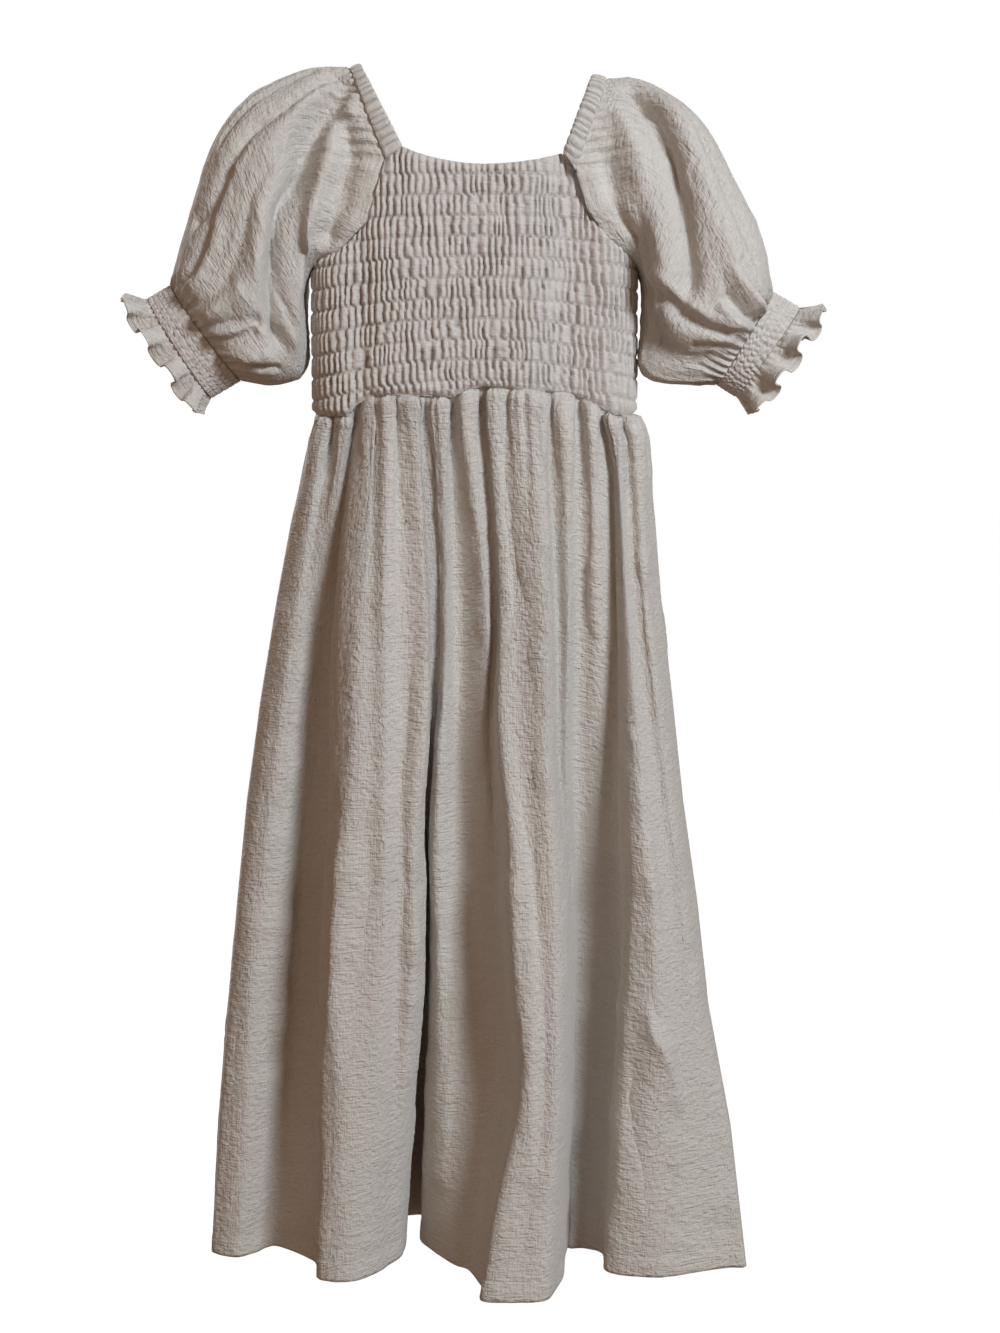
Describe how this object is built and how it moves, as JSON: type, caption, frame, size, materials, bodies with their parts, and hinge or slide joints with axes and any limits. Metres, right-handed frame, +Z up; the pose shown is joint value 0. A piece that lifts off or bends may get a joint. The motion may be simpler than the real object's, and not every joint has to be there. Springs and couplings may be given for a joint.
{
  "type": "peasant dress",
  "caption": "Child's peasant dress of crinkled cotton: square neck, shirred bodice, puff sleeves with ruffled cuffs and a long gathered skirt, hanging hollow.",
  "frame": {"origin": "midway between the two shoulder tops, where the dress is held up", "axes": "+Z up, -Y out of the front, +X to the viewer's right"},
  "size_m": [0.5384, 0.1951, 0.9282],
  "materials": {
    "crinkle_cotton": "matte, slubby crinkled cotton with a linen look",
    "shirred_cotton": "matte crinkled cotton drawn up in rows of elastic thread",
    "casing_cotton": "matte crinkled cotton ruched over elastic"
  },
  "bodies": {
    "root": {"bodice_front": "shirred_cotton", "bodice_back": "shirred_cotton", "skirt_front": "crinkle_cotton", "skirt_back": "crinkle_cotton", "sleeve_left": "crinkle_cotton", "sleeve_right": "crinkle_cotton", "cuff_left": "shirred_cotton", "cuff_right": "shirred_cotton", "ruffle_left": "crinkle_cotton", "ruffle_right": "crinkle_cotton", "neck_casing_left": "casing_cotton", "neck_casing_right": "casing_cotton"}
  },
  "joints": []
}
